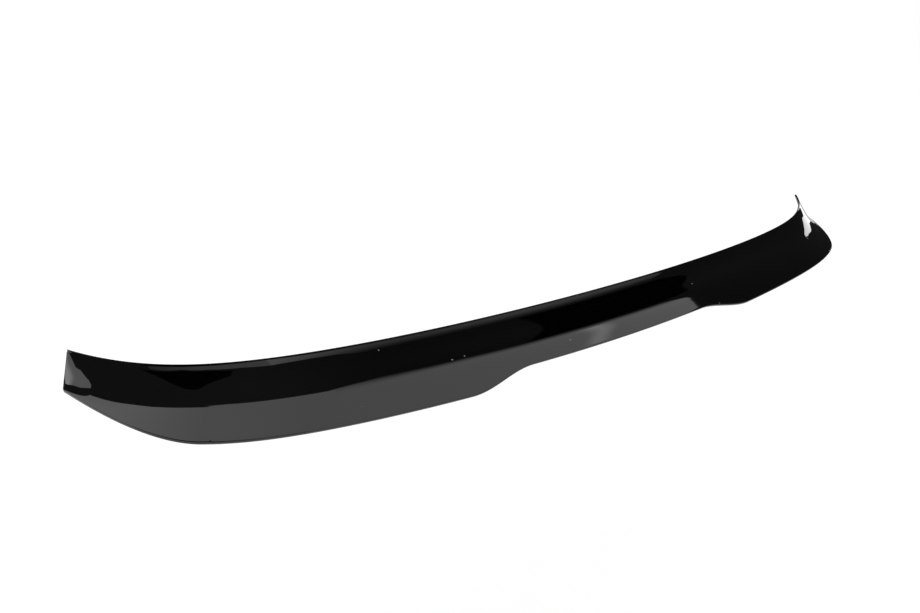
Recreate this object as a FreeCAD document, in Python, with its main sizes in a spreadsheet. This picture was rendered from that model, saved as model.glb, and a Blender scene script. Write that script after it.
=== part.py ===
# Spoiler lip for the trailing edge of a hatchback's roof spoiler: one moulded plastic shell.
# X runs across the car, Y points forwards, Z points up, and the origin is the middle of the crease.
import FreeCAD, Part
import os
import Sketcher

NODE = "spoiler_lip"

# Driving dimensions, in millimetres and degrees
SIZES = [
    ("half_width", 564),          # middle to the bottom corner of an end
    ("sheet_thickness", 3),
    ("crease_bow", 24.9),         # how far the crease leans forwards over the half width
    ("crease_rise", 28.4),        # how far it climbs over the half width
    ("end_depth", 64.8),          # extra forward reach at the very end
    ("end_height", 12),           # extra climb at the very end
    ("end_power", 12),            # how late that turn starts
    ("upper_width", 52),          # upper band at the middle
    ("upper_narrowing", 15.2),    # what the upper band loses towards the end
    ("upper_angle", 25),          # slope of the upper band at the middle
    ("upper_roll", 33.7),         # how much steeper it stands at the end
    ("roll_power", 5),            # how late it rolls up
    ("upper_hollow", 1.2),        # concave dip of the upper band
    ("lower_width_middle", 22),   # lower band above the brake lamp
    ("lower_width_side", 38),     # lower band beside it
    ("lower_angle", 46.5),        # slope of the lower band at the middle
    ("lower_flattening", 24.3),   # how much flatter it lies at the end
    ("crease_reach", 7),          # rounding of the crease, measured along each band
    ("step_start", 146),          # where the lamp cut-out begins to widen
    ("step_length", 90.5),        # over which the full lower band is reached
    ("taper_length", 71),         # over which the lower band runs out at the end
    ("end_lip", 2),               # what is left of it at the end
    ("end_rake", 10.5),           # how far the end edge leans inwards at its top
]

HALF_STATIONS = 28                # sections between the middle and one end
CROWDING = 0.5                    # how much closer they stand towards the end

# Control points of a band, as shares of its width
UPPER_SHARES = (1, 0.75, 0.45)
LOWER_SHARES = (0.6, 1)
SHORT_REACH = 0.3                 # most of a narrow lower band that the crease's rounding takes
SPLINE_DEGREE = 3
DRAFT_STEP = 5                    # spacing of a sketch's points before their sizes are bound
OVERRUN = 1.5                     # the wedge off an end is taller than the end edge by this factor

ACROSS = FreeCAD.Rotation(FreeCAD.Vector(1, 1, 1), 120)      # a sketch that stands across the lip
BEHIND = FreeCAD.Rotation(FreeCAD.Vector(1, 0, 0), 90)       # a sketch seen from behind the car

doc = FreeCAD.newDocument(NODE)
sheet = doc.addObject("Spreadsheet::Sheet", "Sizes")
for row, (alias, value) in enumerate(SIZES, start=1):
    sheet.set(f"A{row}", alias)
    sheet.set(f"B{row}", str(value))
    sheet.setAlias(f"B{row}", alias)
doc.recompute()


def size(name):
    """The way an expression refers to a driving dimension."""
    return f"Sizes.{name}"


def crease_point(share):
    """Depth and height of the crease at a share of the half width."""
    late = f"{share}^{size('end_power')}"
    y = f"({size('crease_bow')} * {share}^2 + {size('end_depth')} * {late})"
    z = f"({size('crease_rise')} * {share}^2 + {size('end_height')} * {late})"
    return y, z


def upper_band(share):
    """Slope and width of the upper band at a share of the half width."""
    angle = f"({size('upper_angle')} + {size('upper_roll')} * {share}^{size('roll_power')})"
    width = f"({size('upper_width')} - {size('upper_narrowing')} * {share}^2)"
    return angle, width


def lower_band(share):
    """Slope and width of the lower band: narrow above the lamp, full beside it, run out at the end."""
    x = f"{size('half_width')} * {share}"
    angle = f"({size('lower_angle')} - {size('lower_flattening')} * {share}^2)"
    past_lamp = f"min(max(({x} - {size('step_start')}) / {size('step_length')}; 0); 1)"
    ease = f"{past_lamp}^2 * (3 - 2 * {past_lamp})"
    middle = size("lower_width_middle")
    full = f"({middle} + ({size('lower_width_side')} - {middle}) * {ease})"
    run_out = f"max(1 - ({size('half_width')} - {x}) / {size('taper_length')}; 0)^2"
    width = f"({full} + ({size('end_lip')} - {full}) * {run_out})"
    return angle, width


def section_poles(share):
    """Control points of the outer face's section, from the upper edge over the crease to the lower edge."""
    crease_y, crease_z = crease_point(share)
    upper_angle, upper_width = upper_band(share)
    lower_angle, lower_width = lower_band(share)

    def at(angle, along, below="0"):
        y = f"{crease_y} + ({along}) * cos({angle}) + {below} * sin({angle})"
        z = f"{crease_z} + ({along}) * sin({angle}) - {below} * cos({angle})"
        return y, z

    poles = []
    for band_share in UPPER_SHARES:
        below = "0" if band_share == 1 else size("upper_hollow")
        poles.append(at(upper_angle, f"{band_share} * {upper_width}", below))
    poles.append(at(upper_angle, size("crease_reach")))
    poles.append(at(lower_angle, f"-min({size('crease_reach')}; {SHORT_REACH} * {lower_width})"))
    for band_share in LOWER_SHARES:
        poles.append(at(lower_angle, f"-{band_share} * {lower_width}"))
    return poles


def place(sketch, points):
    """Hold named points of a sketch at their distances from its origin, each tied to an expression."""
    rules = []
    for name, geometry, end, draft, across, up in points:
        for kind, axis, distance in (("DistanceX", "across", draft.x), ("DistanceY", "up", draft.y)):
            rule = Sketcher.Constraint(kind, -1, 1, geometry, end, distance)
            rule.Name = f"{name}_{axis}"
            rules.append(rule)
    sketch.addConstraint(rules)
    for name, geometry, end, draft, across, up in points:
        sketch.setExpression(f"Constraints.{name}_across", across)
        sketch.setExpression(f"Constraints.{name}_up", up)


def add_section(name, side, share):
    """A section of the outer face: a spline held by its control points, standing across the lip."""
    sketch = doc.addObject("Sketcher::SketchObject", name)
    sketch.Placement.Rotation = ACROSS
    sketch.setExpression("Placement.Base.x", f"{side} * {share} * {size('half_width')}")
    poles = section_poles(share)
    drafts = [FreeCAD.Vector(DRAFT_STEP * (1 + index), DRAFT_STEP, 0) for index in range(len(poles))]
    curve = sketch.addGeometry(Part.BSplineCurve(drafts, None, None, False, SPLINE_DEGREE, None, False))
    circles = sketch.addGeometry([Part.Circle(draft, FreeCAD.Vector(0, 0, 1), 1) for draft in drafts], True)
    rules = []
    points = []
    for index, (circle, draft, (across, up)) in enumerate(zip(circles, drafts, poles)):
        rules.append(Sketcher.Constraint(
            "InternalAlignment:Sketcher::BSplineControlPoint", circle, 3, curve, index))
        rules.append(Sketcher.Constraint("Weight", circle, 1))
        points.append((f"pole_{index}", circle, 3, draft, across, up))
    sketch.addConstraint(rules)
    place(sketch, points)
    return sketch


# The outer face: one smooth loft through the sections, from the left end to the right end
sections = []
for number in range(-HALF_STATIONS, HALF_STATIONS + 1):
    side_name, side = ("left", -1) if number < 0 else ("right", 1)
    even_share = abs(number) / HALF_STATIONS
    share = round(even_share * (1 + CROWDING * (1 - even_share)), 4)
    sections.append(add_section(f"{side_name}_section_{abs(number)}", side, f"{share}"))
doc.recompute()
outer_face = doc.addObject("Part::Loft", "outer_face")
outer_face.Sections = sections
outer_face.Solid = False

# The sheet: the outer face given its thickness inwards
shell = doc.addObject("Part::Offset", "shell")
shell.Source = outer_face
shell.setExpression("Value", f"-{size('sheet_thickness')}")
shell.Fill = True

# The end edges lean inwards: a wedge comes off each end, seen from behind the car
end_angle, end_width = upper_band("1")
end_y, end_z = crease_point("1")
wedge_top = f"({end_z} + {OVERRUN} * {end_width} * sin({end_angle}))"
wedge_inside = f"({size('half_width')} - {OVERRUN} * {size('end_rake')})"
wedge_outside = f"({size('half_width')} + {size('end_rake')})"
corners = [("foot", size("half_width"), end_z), ("outside", wedge_outside, end_z),
           ("top", wedge_outside, wedge_top), ("inside", wedge_inside, wedge_top)]
wedge_drafts = [(2, 1), (3, 1), (3, 2), (1, 2)]
wedges = doc.addObject("Sketcher::SketchObject", "end_wedges")
wedges.Placement.Rotation = BEHIND
for side_name, side in (("left", -1), ("right", 1)):
    drafts = [FreeCAD.Vector(side * DRAFT_STEP * x, DRAFT_STEP * z, 0) for x, z in wedge_drafts]
    count = len(drafts)
    lines = wedges.addGeometry([Part.LineSegment(drafts[index - 1], drafts[index]) for index in range(count)])
    wedges.addConstraint([Sketcher.Constraint("Coincident", lines[index - 1], 2, lines[index], 1)
                          for index in range(count)])
    place(wedges, [(f"{side_name}_{corner}", line, 2, draft, f"{side} * {x}", z)
                   for line, draft, (corner, x, z) in zip(lines, drafts, corners)])
wedge_blocks = doc.addObject("Part::Extrusion", "end_wedge_blocks")
wedge_blocks.Base = wedges
wedge_blocks.DirMode = "Normal"
wedge_blocks.Symmetric = True
wedge_blocks.Solid = True
wedge_blocks.setExpression("LengthFwd", f"{size('half_width')}")
lip = doc.addObject("Part::Cut", NODE)
lip.Base = shell
lip.Tool = wedge_blocks
doc.recompute()

# Nothing is written unless every object is sound
for item in doc.Objects:
    faults = {"Invalid", "Error"} & set(item.State)
    if faults:
        raise RuntimeError(f"{item.Name} is {faults}")
if lip.Shape.isNull() or not lip.Shape.isValid() or len(lip.Shape.Solids) != 1:
    raise RuntimeError("the lip is not one sound solid")
if not lip.Shape.Volume < shell.Shape.Volume:
    raise RuntimeError("the end edges were not cut")

os.makedirs("parts", exist_ok=True)
lip.Shape.exportStep(f"parts/{NODE}.step")
print(NODE, "volume", round(lip.Shape.Volume), "box", lip.Shape.BoundBox)
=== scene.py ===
# Studio picture of the spoiler lip: a gloss-black moulded shell on white, seen from behind and to the left.
import math

import bpy
import numpy as np
from mathutils import Matrix, Vector


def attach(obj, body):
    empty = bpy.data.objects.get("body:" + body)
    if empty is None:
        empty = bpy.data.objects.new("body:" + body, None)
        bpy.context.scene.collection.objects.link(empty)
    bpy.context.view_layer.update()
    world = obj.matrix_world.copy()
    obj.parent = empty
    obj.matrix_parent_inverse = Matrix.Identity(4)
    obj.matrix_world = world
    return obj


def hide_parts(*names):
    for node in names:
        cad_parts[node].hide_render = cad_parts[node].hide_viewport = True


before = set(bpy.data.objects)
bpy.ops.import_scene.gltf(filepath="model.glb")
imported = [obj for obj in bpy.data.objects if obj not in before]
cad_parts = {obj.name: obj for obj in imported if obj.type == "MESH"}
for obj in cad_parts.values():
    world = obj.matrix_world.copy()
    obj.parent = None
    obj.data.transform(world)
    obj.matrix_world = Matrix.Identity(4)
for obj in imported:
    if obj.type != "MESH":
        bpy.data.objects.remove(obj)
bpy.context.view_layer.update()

NODE = "spoiler_lip"
PIECE = "lip_shell"
MM = 0.001

# Sizes of the lip, in millimetres and degrees; apart from the hollow they are the solid's own
HALF_WIDTH = 564.0
SHEET_THICKNESS = 3.0
CREASE_BOW, CREASE_RISE = 24.9, 28.4
END_DEPTH, END_HEIGHT, END_POWER = 64.8, 12.0, 12
UPPER_WIDTH, UPPER_NARROWING = 52.0, 15.2
UPPER_ANGLE, UPPER_ROLL, ROLL_POWER = 25.0, 33.7, 5
LOWER_WIDTH_MIDDLE, LOWER_WIDTH_SIDE = 22.0, 38.0
LOWER_ANGLE, LOWER_FLATTENING = 46.5, 24.3
CREASE_REACH = 7.0
STEP_START, STEP_LENGTH = 146.0, 90.5
TAPER_LENGTH, END_LIP = 71.0, 2.0
END_RAKE = 10.5

# The upper band's hollow: about a millimetre deeper than the solid's in the middle, and fading to the ends
UPPER_HOLLOW, HOLLOW_FADE = 2.6, 0.95

# A section is a spline; its control points are shares of each band's width
UPPER_SHARES = (1.0, 0.75, 0.45)
LOWER_SHARES = (0.6, 1.0)
SHORT_REACH = 0.3
KNOTS = (0, 0, 0, 0, 0.25, 0.5, 0.75, 1, 1, 1, 1)
SPLINE_DEGREE = 3
SPLINE_END = 1 - 1e-9

# The mesh: how many points it has, and how round the sheet's edges are
HALF_STATIONS = 230
CROWDING = 0.5
ACROSS_POINTS = 41
EDGE_RADIUS = 0.5
EDGE_STEPS = 4
LENGTH_PROBES = 200
RAKE_ROUNDS = 8
SLOPE_STEP = 1e-4

# Camera: place in millimetres, turn and tilt in degrees, focal length and picture width in pixels
CAMERA_PLACE = (-690.15, -553.87, 293.60)
CAMERA_TURN, CAMERA_TILT = 39.467, 17.8665
FOCAL_PIXELS, PHOTO_WIDTH = 800.0, 920.0
SENSOR_WIDTH = 36.0

# Material: shares, scales per metre, and heights in metres
PLASTIC_IOR = 1.52
PLASTIC_BLACK = (0.0006, 0.0006, 0.0006, 1)
POLISH, POLISH_SCALE, POLISH_DETAIL = (0.015, 0.03), 9.0, 2
POLISH_NOISE = (0.3, 0.7)
INNER_DULLNESS, INNER_EDGE = 0.35, (0.3, 0.8)
RIPPLE_HEIGHT, RIPPLE_SCALE, RIPPLE_DETAIL = 0.000012, 45.0, 1
DUST_SCALE, DUST_EDGE, DUST_CHANCE = 60.0, (0.03, 0.07), (0.75, 0.77)
DUST_GREY = (0.16, 0.16, 0.155, 1)

# Floor and surround, in metres and as brightness against white
FLOOR_HEIGHT, FLOOR_REACH = -0.4, 12.0
FLOOR_WHITE = (0.86, 0.86, 0.86, 1)
MATT_ROUGHNESS, MATT_SPECULAR = 1.0, 0.0
SURROUND_WHITE = (1, 1, 1, 1)
SURROUND_SEEN, SURROUND_LIGHT = 1.0, 1.25

# Cards overhead: outlines and places in metres, brightness against white; a fade runs between two places
ALONG_X = (1, 0, 0)
CEILING_HEIGHT, CARD_HEIGHT, FLAG_HEIGHT, NEAR_HEIGHT = 1.504, 1.502, 1.5, 0.11
CEILING = [(-5.2, -1.35), (20, -1.35), (20, 6), (7.1, 1.75), (5.5, 1.7), (4, 2.4), (-5.2, 2.4)]
CEILING_GLOW, CEILING_FADE = (0.095, 0.038), (0.2, 0.8)
FRONT_PANEL = [(-1.72, -0.11), (-1.2, -0.07), (-0.69, -0.07), (-0.52, -0.05), (-0.26, -0.04),
               (-0.05, -0.02), (0.03, 0.16), (-0.21, 0.31), (-0.5, 0.7), (-1.72, 0.7)]
FRONT_GLOW, FRONT_FADE = (2.0, 1.3), (-0.75, 0.15)
NEAR_CARD = [(-0.453, 0.0215), (-0.31, 0.0075), (-0.31, -0.05), (-0.453, -0.02)]
NEAR_GLOW, NEAR_FADE = (1.4, 1.22), (-0.45, -0.32)
REAR_PANEL = [(0.42, -0.05), (0.5, -1.3), (2.6, -1.3), (2.37, -0.86), (2.2, -0.58), (2.06, -0.25),
              (1.85, 0.05), (1.5, 0.1), (0.7, 0.18), (0.61, 0.07), (0.51, 0.01)]
REAR_GLOW, REAR_FADE, REAR_WAY = (1.25, CEILING_GLOW[1]), (-0.1, 0.25), (0.1, 1, 0)
STREAK_GLOW, STREAK_PLACE, STREAK_REACH = 2.2, 1.465, 0.1
STREAK_LEAN, STREAK_ENDS = 0.37, (-0.16, -1.0)
REAR_WING = [(0.42, -0.05), (0.31, -0.17), (0.16, -0.31), (-0.06, -0.475), (-0.42, -0.66), (-0.5, -1.3),
             (0.5, -1.3)]
WING_GLOW, WING_FADE = (0.4, 0.75), (-0.4, 0.3)
LEFT_LIGHT = [(-2.1, -0.55), (-2.35, -0.72), (-2.65, -0.79), (-2.95, -0.78), (-3.1, -1.2), (-5, -1.2),
              (-5, 0), (-3.9, -0.14), (-3.1, -0.27), (-2.5, -0.3), (-2, -0.42)]
LEFT_GLOW, LEFT_FADE = (4.0, 1.75), (-4.0, -3.2)
RIGHT_LIGHT = [(3.3, 0.02), (3.8, 0.09), (4.5, 0.24), (7.5, 0.72), (20, 4.2), (20, 2.2), (7, 0.25),
               (5.1, -0.1), (4.6, -0.14), (3.9, -0.09)]
RIGHT_GLOW = 4.2
LEFT_FLAG = [(-0.56, -0.7), (-0.42, -0.645), (-0.06, -0.465), (0.155, -0.295), (0.265, -0.185),
             (0.225, -0.115), (0.055, -0.145), (-0.06, -0.165), (-0.16, -0.26), (-0.3, -0.465),
             (-0.39, -0.58)]
RIGHT_FLAG = [(1.22, 0.13), (1.6, 0.1), (1.9, 0.1), (2.0, 0.2), (2.06, 0.33), (2.14, 0.62), (2.14, 0.85),
              (1.5, 0.85), (1.46, 0.71), (1.36, 0.52), (1.29, 0.33)]
FLAG_GLOW = 0.0


def crease_line(share):
    """Depth and height of the crease at a share of the half width."""
    late = share ** END_POWER
    return CREASE_BOW * share**2 + END_DEPTH * late, CREASE_RISE * share**2 + END_HEIGHT * late


def upper_band(share):
    """Slope and width of the upper band."""
    angle = np.radians(UPPER_ANGLE + UPPER_ROLL * share**ROLL_POWER)
    return angle, UPPER_WIDTH - UPPER_NARROWING * share**2


def lower_band(share):
    """Slope and width of the lower band: narrow above the lamp, full beside it, run out at the end."""
    x = HALF_WIDTH * share
    past_lamp = np.clip((x - STEP_START) / STEP_LENGTH, 0, 1)
    ease = past_lamp**2 * (3 - 2 * past_lamp)
    full = LOWER_WIDTH_MIDDLE + (LOWER_WIDTH_SIDE - LOWER_WIDTH_MIDDLE) * ease
    run_out = np.clip(1 - (HALF_WIDTH - x) / TAPER_LENGTH, 0, 1) ** 2
    return np.radians(LOWER_ANGLE - LOWER_FLATTENING * share**2), full + (END_LIP - full) * run_out


def spline_weights(across):
    """Share of each control point in the points of a section."""
    knots = np.array(KNOTS, float)
    weights = [((across >= low) & (across < high)).astype(float) for low, high in zip(knots, knots[1:])]
    for degree in range(1, SPLINE_DEGREE + 1):
        raised = []
        for index in range(len(weights) - 1):
            total = np.zeros_like(across)
            rise = knots[index + degree] - knots[index]
            fall = knots[index + degree + 1] - knots[index + 1]
            if rise > 0:
                total += (across - knots[index]) / rise * weights[index]
            if fall > 0:
                total += (knots[index + degree + 1] - across) / fall * weights[index + 1]
            raised.append(total)
        weights = raised
    return weights


def outer_face(share, across):
    """Points of the outer face: share runs from -1 to 1 along the lip, across from upper to lower edge."""
    out = np.abs(share)
    crease_y, crease_z = crease_line(out)
    upper_angle, upper_width = upper_band(out)
    lower_angle, lower_width = lower_band(out)
    hollow = UPPER_HOLLOW * (1 - HOLLOW_FADE * out**2)
    poles = []
    for band_share in UPPER_SHARES:
        poles.append((upper_angle, band_share * upper_width, 0 if band_share == 1 else hollow))
    poles.append((upper_angle, CREASE_REACH, 0))
    poles.append((lower_angle, -np.minimum(CREASE_REACH, SHORT_REACH * lower_width), 0))
    for band_share in LOWER_SHARES:
        poles.append((lower_angle, -band_share * lower_width, 0))
    y, z = crease_y, crease_z
    for weight, (angle, along, below) in zip(spline_weights(np.clip(across, 0, SPLINE_END)), poles):
        y = y + weight * (along * np.cos(angle) + below * np.sin(angle))
        z = z + weight * (along * np.sin(angle) - below * np.cos(angle))
    return np.stack([HALF_WIDTH * share, y, z], axis=-1)


def face_normal(share, across):
    """Outward direction of the outer face."""
    inside = np.clip(across, SLOPE_STEP, 1 - SLOPE_STEP)
    along = outer_face(share + SLOPE_STEP, inside) - outer_face(share - SLOPE_STEP, inside)
    down = outer_face(share, inside + SLOPE_STEP) - outer_face(share, inside - SLOPE_STEP)
    normal = np.cross(down, along)
    return normal / np.linalg.norm(normal, axis=-1, keepdims=True)


def end_share(across):
    """Where the leaning end edge cuts the face, as a share of the half width."""
    end_angle, end_width = upper_band(1.0)
    end_z = crease_line(1.0)[1]
    lean = END_RAKE / (end_width * math.sin(end_angle))
    share = np.ones_like(across)
    for _ in range(RAKE_ROUNDS):
        z = outer_face(share, across)[..., 2]
        share = 1 - np.clip(lean * (z - end_z), 0, None) / HALF_WIDTH
    return share


def edge_rounding():
    """A quarter round of the sheet's edge: inset from the edge, and depth under the face."""
    turn = np.linspace(0, math.pi / 2, EDGE_STEPS + 1)
    return EDGE_RADIUS * (1 - np.sin(turn)), EDGE_RADIUS * (1 - np.cos(turn))


def edge_loop():
    """Once round a section: place across the face, inset in from the edge, and depth under the outer face."""
    inset, sunk = edge_rounding()
    middle = np.linspace(0, 1, ACROSS_POINTS)[1:-1]
    outer = [(place, 0, 0) for place in middle]
    lower = [(1, -i, d) for i, d in zip(inset, sunk)]
    lower += [(1, -i, SHEET_THICKNESS - d) for i, d in zip(inset[::-1], sunk[::-1])]
    inner = [(place, 0, SHEET_THICKNESS) for place in middle[::-1]]
    upper = [(0, i, SHEET_THICKNESS - d) for i, d in zip(inset, sunk)]
    upper += [(0, i, d) for i, d in zip(inset[::-1], sunk[::-1])]
    return np.array(outer + lower + inner + upper)


def station_shares():
    """Stations from the left end to the right end, and how deep the rounding of the end faces is there."""
    half = np.linspace(0, 1, HALF_STATIONS + 1)
    crowded = half * (1 + CROWDING * (1 - half))
    inset, sunk = edge_rounding()
    keep = crowded[crowded < 1 - 2 * EDGE_RADIUS / HALF_WIDTH]
    shares = np.r_[keep, 1 - inset / HALF_WIDTH]
    depths = np.r_[np.zeros(len(keep)), sunk]
    return np.r_[-shares[:0:-1], shares], np.r_[depths[:0:-1], depths]


def shell_points():
    """Points of the shell, a row for each station, and their depth under the outer face."""
    loop_across, loop_inset, loop_depth = edge_loop().T
    shares, sinks = station_shares()
    share = shares[:, None] * end_share(loop_across)[None, :]
    # an inset in millimetres becomes a share of the section's own length
    probe = np.linspace(0, 1, LENGTH_PROBES)
    lines = outer_face(shares[:, None] + 0 * probe, np.tile(probe, (len(shares), 1)))
    lengths = np.linalg.norm(np.diff(lines, axis=1), axis=-1).sum(axis=1)
    across = np.clip(loop_across[None, :] + loop_inset[None, :] / lengths[:, None], 0, 1)
    depth = np.clip(loop_depth[None, :], sinks[:, None], SHEET_THICKNESS - sinks[:, None])
    return outer_face(share, across) - face_normal(share, across) * depth[..., None], depth


def shell_faces(rows, columns):
    """Faces between the stations all round, and the two end faces."""
    faces = []
    for row in range(rows - 1):
        low, high = row * columns, (row + 1) * columns
        for column in range(columns):
            following = (column + 1) % columns
            faces.append((low + column, high + column, high + following, low + following))
    # an end face joins the outer and the inner side of its section, from the lower edge upwards
    outer_last = ACROSS_POINTS - 2 + EDGE_STEPS
    for base, flip in ((0, False), ((rows - 1) * columns, True)):
        for step in range(columns // 2 - 1):
            outer, inner = outer_last - step, outer_last + 1 + step
            quad = [base + index % columns for index in (outer, outer - 1, inner + 1, inner)]
            faces.append(tuple(quad[::-1] if flip else quad))
    return faces


def build_lip():
    """The shell as one closed mesh with rounded sheet edges."""
    points, depth = shell_points()
    mesh = bpy.data.meshes.new(PIECE)
    mesh.from_pydata((points.reshape(-1, 3) * MM).tolist(), [], shell_faces(*depth.shape))
    mesh.update()
    mesh.shade_smooth()
    inner = mesh.attributes.new("inner_side", "FLOAT", "POINT")
    inner.data.foreach_set("value", (depth / SHEET_THICKNESS).reshape(-1).astype(np.float32))
    lip = bpy.data.objects.new(PIECE, mesh)
    bpy.context.collection.objects.link(lip)
    return lip


def gloss_black():
    """Polished black plastic: deep gloss with a faint ripple and dust outside, a duller face inside."""
    material = bpy.data.materials.new("gloss_black_plastic")
    material.use_nodes = True
    nodes = material.node_tree.nodes
    links = material.node_tree.links
    shader = nodes["Principled BSDF"]
    shader.inputs["IOR"].default_value = PLASTIC_IOR
    place = nodes.new("ShaderNodeTexCoord")

    def noise(scale, detail):
        texture = nodes.new("ShaderNodeTexNoise")
        texture.inputs["Scale"].default_value = scale
        texture.inputs["Detail"].default_value = detail
        links.new(place.outputs["Object"], texture.inputs["Vector"])
        return texture.outputs["Fac"]

    def mapped(value, source, target):
        ramp = nodes.new("ShaderNodeMapRange")
        ramp.inputs["From Min"].default_value, ramp.inputs["From Max"].default_value = source
        ramp.inputs["To Min"].default_value, ramp.inputs["To Max"].default_value = target
        links.new(value, ramp.inputs["Value"])
        return ramp.outputs["Result"]

    def combined(operation, first, second):
        node = nodes.new("ShaderNodeMath")
        node.operation = operation
        links.new(first, node.inputs[0])
        links.new(second, node.inputs[1])
        return node.outputs["Value"]

    # dust: a dot in some of the cells
    cells = nodes.new("ShaderNodeTexVoronoi")
    cells.inputs["Scale"].default_value = DUST_SCALE
    links.new(place.outputs["Object"], cells.inputs["Vector"])
    dot = mapped(cells.outputs["Distance"], DUST_EDGE, (1, 0))
    chance = nodes.new("ShaderNodeSeparateColor")
    links.new(cells.outputs["Color"], chance.inputs["Color"])
    speck = combined("MULTIPLY", dot, mapped(chance.outputs["Red"], DUST_CHANCE, (0, 1)))
    tint = nodes.new("ShaderNodeMix")
    tint.data_type = "RGBA"
    tint.inputs["A"].default_value = PLASTIC_BLACK
    tint.inputs["B"].default_value = DUST_GREY
    links.new(speck, tint.inputs["Factor"])
    links.new(tint.outputs["Result"], shader.inputs["Base Color"])

    # gloss: it varies a little, the inner face is duller, and dust has none
    side = nodes.new("ShaderNodeAttribute")
    side.attribute_name = "inner_side"
    dull = mapped(side.outputs["Fac"], INNER_EDGE, (0, INNER_DULLNESS))
    polish = mapped(noise(POLISH_SCALE, POLISH_DETAIL), POLISH_NOISE, POLISH)
    links.new(combined("ADD", combined("ADD", polish, dull), speck), shader.inputs["Roughness"])

    # a faint ripple of the moulded surface
    bump = nodes.new("ShaderNodeBump")
    bump.inputs["Distance"].default_value = RIPPLE_HEIGHT
    links.new(noise(RIPPLE_SCALE, RIPPLE_DETAIL), bump.inputs["Height"])
    links.new(bump.outputs["Normal"], shader.inputs["Normal"])
    return material


def even_glow(name, level):
    """The material of a card that shines evenly."""
    material = bpy.data.materials.new(name)
    material.use_nodes = True
    nodes = material.node_tree.nodes
    nodes.remove(nodes["Principled BSDF"])
    emission = nodes.new("ShaderNodeEmission")
    emission.inputs["Strength"].default_value = level
    material.node_tree.links.new(emission.outputs["Emission"], nodes["Material Output"].inputs["Surface"])
    return material


def fading_glow(name, levels, fade, way=ALONG_X):
    """The material of a card whose brightness goes from one level to another along a direction."""
    material = even_glow(name, levels[0])
    nodes = material.node_tree.nodes
    links = material.node_tree.links
    where = nodes.new("ShaderNodeNewGeometry")
    along = nodes.new("ShaderNodeVectorMath")
    along.operation = "DOT_PRODUCT"
    along.inputs[1].default_value = way
    links.new(where.outputs["Position"], along.inputs[0])
    ramp = nodes.new("ShaderNodeMapRange")
    ramp.interpolation_type = "SMOOTHSTEP"
    ramp.inputs["From Min"].default_value, ramp.inputs["From Max"].default_value = fade
    ramp.inputs["To Min"].default_value, ramp.inputs["To Max"].default_value = levels
    links.new(along.outputs["Value"], ramp.inputs["Value"])
    links.new(ramp.outputs["Result"], nodes["Emission"].inputs["Strength"])
    return material


def add_flat(name, outline, height, material):
    """A flat, level piece of the stage."""
    mesh = bpy.data.meshes.new(name)
    mesh.from_pydata([(x, y, height) for x, y in outline], [], [tuple(range(len(outline)))])
    mesh.materials.append(material)
    flat = bpy.data.objects.new(name, mesh)
    bpy.context.collection.objects.link(flat)
    return flat


def add_card(name, outline, height, material):
    """A card overhead that only reflections see."""
    card = add_flat(name, outline, height, material)
    card.visible_camera = False
    card.visible_diffuse = False
    card.visible_shadow = False


def hang_streak():
    """A brighter streak on the rear panel: two leaning cards that fade out to their far sides."""
    near, far = STREAK_ENDS
    for side_name, side in (("left", -1), ("right", 1)):
        name = f"rear_streak_{side_name}"
        edge = STREAK_PLACE + side * STREAK_REACH
        corners = ((STREAK_PLACE, near), (edge, near), (edge, far), (STREAK_PLACE, far))
        outline = [(place - STREAK_LEAN * y, y) for place, y in corners]
        levels = (STREAK_GLOW, REAR_GLOW[0])
        white = fading_glow(f"{name}_white", levels, (STREAK_PLACE, edge), (1, STREAK_LEAN, 0))
        add_card(name, outline, FLAG_HEIGHT, white)


def hang_cards():
    """The studio overhead: a dark ceiling, white panels, smaller lights at the sides, and black flags."""
    black = even_glow("flag_black", FLAG_GLOW)
    add_card("ceiling", CEILING, CEILING_HEIGHT, fading_glow("ceiling_dark", CEILING_GLOW, CEILING_FADE))
    add_card("front_panel", FRONT_PANEL, CARD_HEIGHT,
             fading_glow("front_panel_white", FRONT_GLOW, FRONT_FADE))
    add_card("near_card", NEAR_CARD, NEAR_HEIGHT, fading_glow("near_card_white", NEAR_GLOW, NEAR_FADE))
    add_card("rear_panel", REAR_PANEL, CARD_HEIGHT,
             fading_glow("rear_panel_white", REAR_GLOW, REAR_FADE, REAR_WAY))
    hang_streak()
    add_card("rear_wing", REAR_WING, CARD_HEIGHT, fading_glow("rear_wing_white", WING_GLOW, WING_FADE))
    add_card("left_light", LEFT_LIGHT, CARD_HEIGHT, fading_glow("left_white", LEFT_GLOW, LEFT_FADE))
    add_card("right_light", RIGHT_LIGHT, CARD_HEIGHT, even_glow("right_white", RIGHT_GLOW))
    add_card("left_flag", LEFT_FLAG, FLAG_HEIGHT, black)
    add_card("right_flag", RIGHT_FLAG, FLAG_HEIGHT, black)


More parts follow.
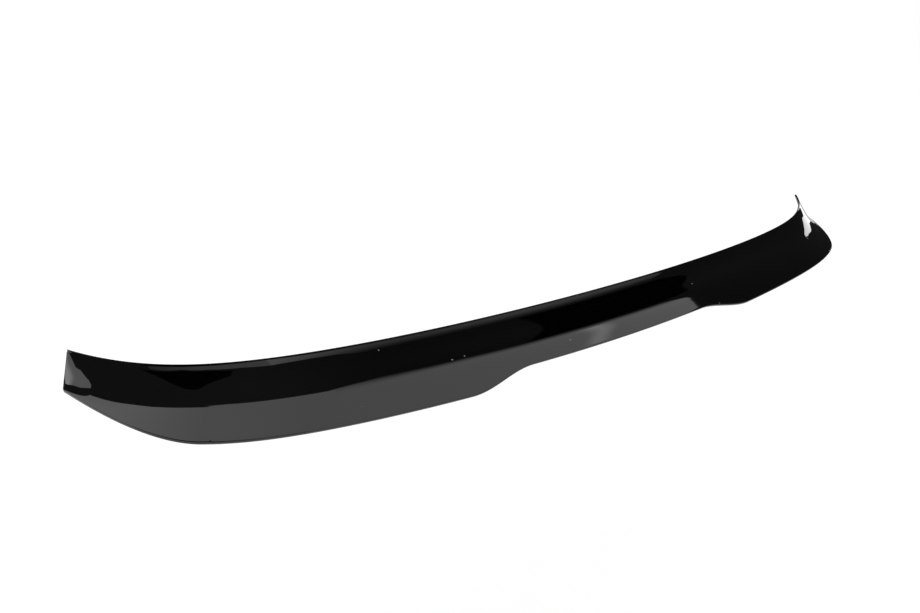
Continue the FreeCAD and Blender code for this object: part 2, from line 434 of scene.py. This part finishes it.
def lay_floor():
    """A plain pale floor below the lip, lit by the surround."""
    material = bpy.data.materials.new("floor_white")
    material.use_nodes = True
    shader = material.node_tree.nodes["Principled BSDF"]
    shader.inputs["Base Color"].default_value = FLOOR_WHITE
    shader.inputs["Roughness"].default_value = MATT_ROUGHNESS
    shader.inputs["Specular IOR Level"].default_value = MATT_SPECULAR
    corners = ((-1, -1), (1, -1), (1, 1), (-1, 1))
    add_flat("floor", [(x * FLOOR_REACH, y * FLOOR_REACH) for x, y in corners], FLOOR_HEIGHT, material)


def place_camera():
    """The camera behind the car's left corner, looking down a little."""
    camera = bpy.data.objects.new("camera", bpy.data.cameras.new("camera"))
    bpy.context.collection.objects.link(camera)
    turn = Matrix.Rotation(-math.radians(CAMERA_TURN), 4, "Z")
    tilt = Matrix.Rotation(math.pi / 2 - math.radians(CAMERA_TILT), 4, "X")
    camera.matrix_world = Matrix.Translation(Vector(CAMERA_PLACE) * MM) @ turn @ tilt
    camera.data.sensor_width = SENSOR_WIDTH
    camera.data.lens = FOCAL_PIXELS / PHOTO_WIDTH * SENSOR_WIDTH
    bpy.context.scene.camera = camera


def light_world():
    """A plain surround: white where it is seen or mirrored, and a little brighter as light on the floor."""
    world = bpy.data.worlds.new("surround")
    bpy.context.scene.world = world
    world.use_nodes = True
    nodes = world.node_tree.nodes
    links = world.node_tree.links
    path = nodes.new("ShaderNodeLightPath")
    seen = path.outputs["Is Camera Ray"]
    for ray in ("Is Glossy Ray", "Is Transmission Ray"):
        either = nodes.new("ShaderNodeMath")
        either.operation = "ADD"
        either.use_clamp = True
        links.new(seen, either.inputs[0])
        links.new(path.outputs[ray], either.inputs[1])
        seen = either.outputs["Value"]
    level = nodes.new("ShaderNodeMapRange")
    level.inputs["To Min"].default_value = SURROUND_LIGHT
    level.inputs["To Max"].default_value = SURROUND_SEEN
    links.new(seen, level.inputs["Value"])
    nodes["Background"].inputs["Color"].default_value = SURROUND_WHITE
    links.new(level.outputs["Result"], nodes["Background"].inputs["Strength"])


lip = build_lip()
lip.data.materials.append(gloss_black())
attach(lip, "root")
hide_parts(NODE)
place_camera()
light_world()
lay_floor()
hang_cards()
bpy.context.scene.view_settings.view_transform = "Standard"
